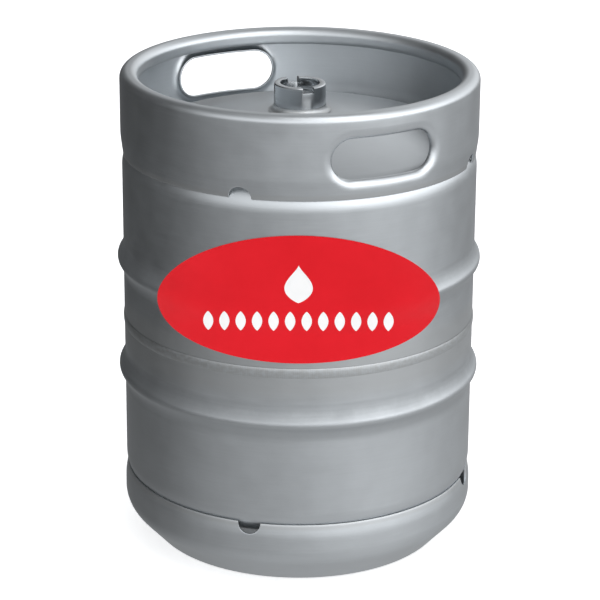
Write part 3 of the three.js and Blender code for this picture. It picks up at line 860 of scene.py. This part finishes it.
def oval_label():
    """Red oval film with a white drop over a row of grains, printed a little proud of it."""
    verts, faces = [], []
    oval_rows = rows_between(oval, -LABEL_HALF[1], LABEL_HALF[1], 0, 96, 120)
    ground = film(verts, faces, oval_rows, 0, LABEL_FILM)
    film(verts, faces, rows_between(drop, *DROP_SPAN, 0, 40, 20), INK_LIFT, INK_FILM)
    for i in range(GRAINS):
        centre = (i - (GRAINS - 1) / 2) * GRAIN_SPACING
        film(verts, faces, rows_between(grain, *GRAIN_SPAN, centre, 20, 10), INK_LIFT, INK_FILM)
    label = make_object("oval_label_film", verts, faces, crease=radians(50))
    for face in label.data.polygons:
        face.material_index = 0 if face.index < ground else 1
    return label


# ---- materials

class Nodes:
    """Short calls for the nodes of a material or a world."""

    def __init__(self, tree):
        self.tree = tree

    def add(self, kind, inputs=None, **settings):
        node = self.tree.nodes.new(kind)
        for key, value in settings.items():
            setattr(node, key, value)
        for key, value in (inputs or {}).items():
            self.feed(node.inputs[key], value)
        return node

    def feed(self, socket, value):
        if isinstance(value, bpy.types.NodeSocket):
            self.tree.links.new(value, socket)
        else:
            socket.default_value = value

    def math(self, operation, a, b=0):
        return self.add("ShaderNodeMath", {0: a, 1: b}, operation=operation).outputs[0]

    def times(self, a, b):
        return self.math("MULTIPLY", a, b)

    def total(self, first, *others):
        for other in others:
            first = self.math("ADD", first, other)
        return first

    def spread(self, value, low_in, high_in, low_out=0, high_out=1, kind="LINEAR"):
        inputs = {"Value": value, "From Min": low_in, "From Max": high_in}
        inputs.update({"To Min": low_out, "To Max": high_out})
        return self.add("ShaderNodeMapRange", inputs, interpolation_type=kind).outputs["Result"]


class Shader(Nodes):
    """A principled material and the fields that feed it."""

    def __init__(self, name):
        self.material = bpy.data.materials.new(name)
        self.material.use_nodes = True
        super().__init__(self.material.node_tree)
        self.principled = next(n for n in self.tree.nodes if n.type == "BSDF_PRINCIPLED")
        self.where = self.add("ShaderNodeTexCoord").outputs["Object"]

    def set(self, **values):
        for key, value in values.items():
            self.feed(self.principled.inputs[key.replace("_", " ")], value)

    def noise(self, scale, detail=3, rough=0.5, where=None, w=None, distortion=0):
        inputs = {"Vector": where or self.where, "Scale": scale, "Detail": detail, "Roughness": rough}
        inputs["Distortion"] = distortion
        if w is not None:
            inputs["W"] = w
        dimensions = "3D" if w is None else "4D"
        return self.add("ShaderNodeTexNoise", inputs, noise_dimensions=dimensions).outputs["Fac"]

    def sway(self, field, low_out=0, high_out=1):
        """Spreads what a noise mostly covers."""
        return self.spread(field, 0.3, 0.7, low_out, high_out)

    def mix(self, share, a, b):
        # A colour mix has its factor at socket 0 and its colours at 6 and 7.
        return self.add("ShaderNodeMix", {0: share, 6: a, 7: b}, data_type="RGBA").outputs[2]

    def bumps(self, *layers):
        """Bumps laid over each other, each as (height, distance) or (height, distance, strength)."""
        normal = None
        for height, distance, *strength in layers:
            inputs = {"Height": height, "Distance": distance, "Strength": strength[0] if strength else 1}
            if normal is not None:
                inputs["Normal"] = normal
            normal = self.add("ShaderNodeBump", inputs).outputs["Normal"]
        return normal

    def metal(self, colour, rough, *layers):
        """The finished material, as bare metal."""
        self.set(Base_Color=colour, Metallic=1, Roughness=rough, Normal=self.bumps(*layers))
        return self.material

    def polar(self):
        """X, Y and Z of a point, and its distance from the axis."""
        x, y, z = self.add("ShaderNodeSeparateXYZ", {"Vector": self.where}).outputs
        r = self.math("SQRT", self.total(self.times(x, x), self.times(y, y)))
        return x, y, z, self.math("MAXIMUM", r, 1 * MM)

    def lines(self, along, across, detail=2):
        """Noise drawn out round the axis: along sets how many features a turn holds, across how fine."""
        x, y, z, r = self.polar()
        ring_x, ring_y = [self.times(self.math("DIVIDE", side, r), along) for side in (x, y)]
        vector = self.add("ShaderNodeCombineXYZ", {"X": ring_x, "Y": ring_y, "Z": self.times(z, across)})
        return self.noise(1, detail, 0.6, vector.outputs[0], self.times(r, across))

    def scratches(self, scale, width, distortion=0.6):
        """1 on thin wandering lines, 0 elsewhere: a contour of a noise."""
        field = self.noise(scale, 1, 0.4, distortion=distortion)
        away = self.math("ABSOLUTE", self.math("SUBTRACT", field, 0.5))
        line = self.spread(away, 0, width, 1, 0)
        patchy = self.spread(self.noise(scale * 0.6, 2), 0.48, 0.62)
        return self.times(line, patchy)


def grey(value, tint=(0.958, 1, 1.033)):
    return (*[value * t for t in tint], 1)


def satin_steel(name, bands=(), hoops=()):
    """Pickled, fine-brushed sheet. Bands are heights (low, high) of matt, heat-affected metal by a weld.
    Hoops are heights of rolling hoops, whose upper flanks get painted shade that dims their highlight, and
    more matt metal."""
    shader = Shader(name)
    _, _, z, _ = shader.polar()
    cloud = shader.noise(9, 4, 0.55)
    patch = shader.noise(38, 4, 0.6)
    brushed = shader.lines(5, 700, 3)
    hair = shader.lines(14, 2600, 1)
    grain = shader.noise(1500, 2)
    scuffs = shader.scratches(22, 0.006)
    rough = shader.total(
        shader.sway(cloud, 0.36, 0.44), shader.sway(patch, -0.025, 0.025), shader.sway(brushed, -0.03, 0.03),
        shader.times(scuffs, -0.06),
    )
    tone = shader.total(shader.sway(patch, 0, 0.5), shader.sway(brushed, 0, 0.5))
    colour = shader.mix(tone, grey(0.585), grey(0.64))
    for low_z, high_z in bands:
        middle, half = (low_z + high_z) / 2, (high_z - low_z) / 2
        away = shader.math("ABSOLUTE", shader.math("SUBTRACT", z, middle))
        near = shader.spread(away, half * 0.6, half, 1, 0)
        colour = shader.mix(shader.times(near, 0.6), colour, grey(0.53, (0.98, 1, 1.005)))
        rough = shader.total(rough, shader.times(near, 0.07))
    for hoop_z in hoops:
        above = shader.math("SUBTRACT", z, hoop_z)
        # Painted shade: darkens each hoop's upper flank, where its highlight falls, broken up by noise; the
        # flank is also made rougher.
        flank = shader.spread(above, 1 * MM, 9 * MM, 0.45, 1)
        near = shader.spread(shader.math("ABSOLUTE", above), 15 * MM, 24 * MM, 1, 0)
        shade_breakup = shader.spread(shader.noise(60, 5, 0.7), 0.3, 0.6, 0.85, 1)
        painted_flank_shade = shader.times(shader.times(near, flank), shade_breakup)
        colour = shader.mix(painted_flank_shade, colour, grey(0.41))
        rough = shader.total(rough, shader.times(painted_flank_shade, 0.2))
    dents = shader.noise(16, 2)
    return shader.metal(
        colour, rough, (brushed, 0.02 * MM), (hair, 0.006 * MM), (grain, 0.006 * MM), (dents, 0.6 * MM, 0.35))


def weld_steel(name, ripples):
    """Weld bead with ripples across it, a little darker and more matt than the sheet."""
    shader = Shader(name)
    x, y, _, _ = shader.polar()
    turns = shader.times(shader.math("ARCTAN2", y, x), ripples)
    ripple = shader.math("SINE", shader.total(turns, shader.times(shader.noise(40, 2), 2.5)))
    spots = shader.noise(260, 3, 0.6)
    tone = shader.total(shader.spread(ripple, -1, 1, 0, 0.2), shader.spread(spots, 0.4, 0.7, 0, 0.8))
    colour = shader.mix(tone, grey(0.52, (0.98, 1, 1)), grey(0.6))
    return shader.metal(colour, shader.sway(spots, 0.4, 0.54), (ripple, 0.015 * MM), (spots, 0.05 * MM))


def turned_steel():
    """Machined steel: fine rings round the axis, small knocks."""
    shader = Shader("turned_steel")
    rings = shader.lines(0.6, 3200, 2)
    cloud = shader.noise(120, 3)
    knocks = shader.scratches(160, 0.006)
    rough = shader.total(shader.sway(rings, 0.2, 0.25), shader.sway(cloud, -0.015, 0.015))
    colour = shader.mix(shader.sway(rings), grey(0.52), grey(0.57))
    return shader.metal(colour, rough, (rings, 0.0015 * MM), (knocks, -0.008 * MM))


def spring_steel():
    """Drawn wire: fine grain and cloudy tarnish."""
    shader = Shader("spring_steel")
    cloud = shader.noise(300, 4, 0.6)
    fine = shader.noise(2600, 2)
    colour = shader.mix(shader.spread(cloud, 0.35, 0.65), grey(0.46, (0.98, 1, 1)), grey(0.57))
    return shader.metal(colour, shader.sway(cloud, 0.24, 0.36), (fine, 0.008 * MM))


def polished_steel():
    """Ground and polished ball with a faint haze."""
    shader = Shader("polished_steel")
    haze = shader.noise(420, 4, 0.6)
    fine = shader.noise(1800, 1)
    colour = shader.mix(shader.sway(haze), grey(0.74), grey(0.8))
    return shader.metal(colour, shader.sway(haze, 0.08, 0.16), (fine, 0.002 * MM))


def seal_rubber():
    """Matt black moulded rubber with a fine grain and dusty high spots."""
    shader = Shader("seal_rubber")
    grain = shader.noise(1900, 3, 0.6)
    dust = shader.noise(180, 4, 0.65)
    colour = shader.mix(shader.spread(dust, 0.5, 0.8), (0.018, 0.018, 0.019, 1), (0.06, 0.06, 0.058, 1))
    rough = shader.sway(dust, 0.55, 0.75)
    normal = shader.bumps((grain, 0.03 * MM))
    shader.set(Base_Color=colour, Roughness=rough, Normal=normal, Specular_IOR_Level=0.4)
    return shader.material


def label_vinyl(name, dark, light):
    """Printed vinyl: slight colour cloud, orange peel from the adhesive, fine scratches."""
    shader = Shader(name)
    cloud = shader.noise(14, 4, 0.6)
    peel = shader.noise(240, 2, 0.5)
    fine = shader.noise(1800, 2)
    scratch = shader.scratches(34, 0.004)
    colour = shader.mix(shader.sway(cloud), dark, light)
    rough = shader.total(shader.sway(peel, 0.46, 0.54), shader.times(scratch, 0.12))
    normal = shader.bumps((peel, 0.03 * MM), (fine, 0.006 * MM))
    shader.set(Base_Color=colour, Roughness=rough, Normal=normal, Specular_IOR_Level=0.1)
    return shader.material


def floor_paper():
    """Pale studio paper that glows a little so that it reads as white; the glow is left off under the keg as
    a painted shadow.
    """
    shader = Shader("floor_paper")
    fibre = shader.noise(420, 4, 0.6)
    colour = shader.mix(shader.sway(shader.noise(1.2, 2)), (0.86, 0.86, 0.865, 1), (0.9, 0.9, 0.9, 1))
    normal = shader.bumps((fibre, 0.05 * MM))
    shader.set(Base_Color=colour, Roughness=0.9, Normal=normal, Specular_IOR_Level=0.1)
    # Painted shadow: no glow within 130 mm of the axis, fading in by 155 mm.
    glow_round_painted_shadow = shader.spread(shader.polar()[3], *PAINTED_SHADOW_EDGE, 0, GLOW_STRENGTH)
    shader.set(Emission_Color=(1, 1, 1, 1), Emission_Strength=glow_round_painted_shadow)
    return shader.material


# ---- assembly

SPRINGS = (("gas_spring", "keg", 2 * MM, 6), ("product_spring", "gas_valve", 1 * MM, 5))
GIRTH_HEAT = 34 * MM
EDGE_HEAT = 7 * MM


def fit(piece, node, body, *materials):
    """The piece takes the node's place and its body."""
    for material in materials:
        piece.data.materials.append(material)
    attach(piece, body)
    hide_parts(node)
    return piece


def build_vessel():
    bead = (GIRTH_Z - GIRTH_HEAT, GIRTH_Z + GIRTH_HEAT)
    neck_heat = (crown_z(50 * MM), crown_z(20 * MM) + 12 * MM)
    shell = satin_steel("satin_steel_shell", [bead, neck_heat], HOOP_ZS)
    edges = (SHOULDER_HIGH_Z + CHIME_EDGE_RISE, SHOULDER_LOW_Z - CHIME_EDGE_RISE)
    collar = satin_steel("satin_steel_chime", [(edge - EDGE_HEAT, edge + EDGE_HEAT) for edge in edges])
    long_weld = weld_steel("weld_steel_long", 620)
    neck_bead = weld_steel("weld_steel_neck", 90)
    for node, piece, material in (
        ("upper_shell", upper_shell(), shell), ("lower_shell", lower_shell(), shell),
        ("girth_weld", girth_weld(), long_weld),
        ("top_chime", top_chime(), collar), ("bottom_chime", bottom_chime(), collar),
        ("top_chime_weld", chime_weld("top_chime_fillet", SHOULDER_HIGH_Z, 1, TOP_DRAINS), long_weld),
        ("bottom_chime_weld", chime_weld("bottom_chime_fillet", SHOULDER_LOW_Z, -1, BOTTOM_DRAINS),
         long_weld),
        ("neck_weld", neck_weld(), neck_bead),
    ):
        fit(piece, node, "keg", material)


def build_spear():
    steel = turned_steel()
    rubber = seal_rubber()
    wire = spring_steel()
    for node, piece, body, material in (
        ("neck_boss", neck_boss(), "keg", steel), ("spear_body", spear_body(), "keg", steel),
        ("body_gasket", body_gasket(), "keg", rubber), ("lock_ring", lock_ring(), "keg", wire),
        ("spring_stop", spring_stop(), "keg", steel), ("gas_seal", gas_seal(), "gas_valve", rubber),
        ("seal_retainer", seal_retainer(), "gas_valve", steel),
        ("down_tube", down_tube(), "gas_valve", steel),
        ("product_ball", product_ball(), "product_valve", polished_steel()),
    ):
        fit(piece, node, body, material)
    for node, body, wire_round, turns in SPRINGS:
        spring = fit(coil_spring(node + "_wire", node, wire_round, turns), node, body, wire)
        squash_spring(spring, node)


def squash_spring(spring, node):
    """Gives the spring its own copy of its mesh when a joint deforms its node."""
    for joint in frame["record"]["behaviour"]["joints"]:
        for deforming in joint["deforming_nodes"]:
            if deforming["node"] == node:
                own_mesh(spring)


def build_label():
    red = label_vinyl("label_red", (0.52, 0.0055, 0.011, 1), (0.57, 0.007, 0.014, 1))
    white = label_vinyl("label_white", (0.66, 0.66, 0.66, 1), (0.72, 0.72, 0.72, 1))
    fit(oval_label(), "oval_label", "keg", red, white)


# ---- studio

# Brightness of the surround, by share of the way from its dim side (0) to its bright side (1)
BRIGHT_AZIMUTH = radians(57)
WORLD_STOPS = [
    (0.03, 0.085), (0.06, 0.07), (0.09, 0.09), (0.168, 0.17), (0.296, 0.26), (0.46, 0.335),
    (0.62, 0.38), (0.756, 0.435), (0.876, 0.555), (0.949, 0.69), (1.0, 0.74),
]
WORLD_TINT = (0.985, 1.0, 1.015)
# Its changes by height, from -1 at the nadir to 1 at the zenith, as (start, end, gain at start, gain at end)
SKY_EDGE = (-0.06, 0.13, 0, 1)
ZENITH_DIMMER = (0.45, 0.9, 1, 0.38)
NADIR_LIFT = (-0.9, -0.45, 1.35, 1)
# The sky's extra brightness, by the same share
SKY_GAIN = (0.10, 0.34, 0, 2.6)

# The paper's own glow, with a painted shadow under the keg where it is off, and the light that it throws up
# at the keg
PAINTED_SHADOW_EDGE = (130 * MM, 155 * MM)
GLOW_STRENGTH = 0.5
GLOW_RADIUS, GLOW_RADIANCE = 0.75, 0.08

# Camera, fitted to the photo's outline
CAMERA_PLACE = (0, -2.6879, 1.2324)
CAMERA_DROOP = radians(19.794)
CAMERA_ROLL = 0.00648
CAMERA_LENS, CAMERA_SHIFT = 153.42, 0.00243


def studio_floor():
    """Pale paper sweep: flat under the keg, curving up far behind it on every side."""
    flat, bend, top = 9.0, 4.0, 5.0
    path = [(0.0, 0.0), (1.0, 0.0), (3.0, 0.0), (flat, 0.0)]
    path += [(r, z + bend) for r, z in arc(flat, 0, bend, -pi / 2, 0, 16)[1:]]
    path += [(flat + bend, bend + top)]
    verts, faces = [], []
    segments = 96
    for column in range(segments):
        azimuth = TURN * column / segments
        verts += [(r * sin(azimuth), -r * cos(azimuth), z) for r, z in path]
    count = len(path)
    for column in range(segments):
        near, far = column * count, (column + 1) % segments * count
        for i in range(count - 1):
            faces.append([near + i, near + i + 1, far + i + 1, far + i] if i else [0, near + 1, far + 1])
    floor = make_object("floor", verts, faces)
    floor.data.materials.append(floor_paper())
    floor.visible_glossy = False


def studio_world():
    """Soft surround, bright to the camera's right and dim to its left, and brighter above the horizon."""
    world = bpy.data.worlds.new("studio")
    bpy.context.scene.world = world
    world.use_nodes = True
    world.node_tree.nodes.clear()
    nodes = Nodes(world.node_tree)

    def smooth(value, numbers):
        return nodes.spread(value, *numbers, "SMOOTHSTEP")

    where = nodes.add("ShaderNodeTexCoord").outputs["Generated"]
    bright = (sin(BRIGHT_AZIMUTH), -cos(BRIGHT_AZIMUTH), 0)
    facing = nodes.add("ShaderNodeVectorMath", {0: where, 1: bright}, operation="DOT_PRODUCT")
    height = nodes.add("ShaderNodeSeparateXYZ", {0: where}).outputs["Z"]
    share = nodes.spread(facing.outputs["Value"], -1, 1)
    ramp = nodes.add("ShaderNodeValToRGB", {0: share})
    ramp.color_ramp.interpolation = "B_SPLINE"
    while len(ramp.color_ramp.elements) < len(WORLD_STOPS):
        ramp.color_ramp.elements.new(0.5)
    for element, (place, value) in zip(ramp.color_ramp.elements, WORLD_STOPS):
        element.position = place
        element.color = (*[value * tint for tint in WORLD_TINT], 1)
    strength = nodes.total(1, nodes.times(smooth(height, SKY_EDGE), smooth(share, SKY_GAIN)))
    for change in (ZENITH_DIMMER, NADIR_LIFT):
        strength = nodes.times(strength, smooth(height, change))
    background = nodes.add("ShaderNodeBackground", {0: ramp.outputs["Color"], 1: strength})
    nodes.add("ShaderNodeOutputWorld", {0: background.outputs["Background"]})


def area_light(name, shape, size, power):
    light = bpy.data.lights.new(name, "AREA")
    light.shape = shape
    light.size = size
    light.energy = power
    lamp = bpy.data.objects.new(name, light)
    bpy.context.scene.collection.objects.link(lamp)
    return lamp


def softbox(name, azimuth, elevation, distance, size, power):
    """Square area light that faces the middle of the keg."""
    lamp = area_light(name, "SQUARE", size, power)
    a, e = radians(azimuth), radians(elevation)
    away = Vector((sin(a) * cos(e), -cos(a) * cos(e), sin(e)))
    lamp.location = Vector((0, 0, KEG_HEIGHT / 2)) + away * distance
    lamp.rotation_mode = "QUATERNION"
    lamp.rotation_quaternion = away.to_track_quat("Z", "Y")


def glow():
    """Light that the pale floor throws up at the foot of the keg."""
    power = GLOW_RADIANCE * pi**2 * GLOW_RADIUS**2
    lamp = area_light("floor_glow", "DISK", 2 * GLOW_RADIUS, power)
    lamp.location = (0, 0, 1 * MM)
    lamp.rotation_euler = (pi, 0, 0)


def studio_camera():
    camera = bpy.data.cameras.new("camera")
    camera.sensor_width = 36
    camera.lens = CAMERA_LENS
    camera.shift_x = CAMERA_SHIFT
    camera.clip_start, camera.clip_end = 0.1, 60
    viewer = bpy.data.objects.new("camera", camera)
    tilt = Matrix.Rotation(pi / 2 - CAMERA_DROOP, 4, "X")
    viewer.matrix_world = Matrix.Translation(CAMERA_PLACE) @ tilt @ Matrix.Rotation(CAMERA_ROLL, 4, "Z")
    bpy.context.scene.collection.objects.link(viewer)
    bpy.context.scene.camera = viewer


studio_camera()
studio_floor()
studio_world()
softbox("key", azimuth=35, elevation=60, distance=3.0, size=1.7, power=17)
glow()
bpy.context.scene.view_settings.view_transform = "Standard"

build_vessel()
build_spear()
build_label()
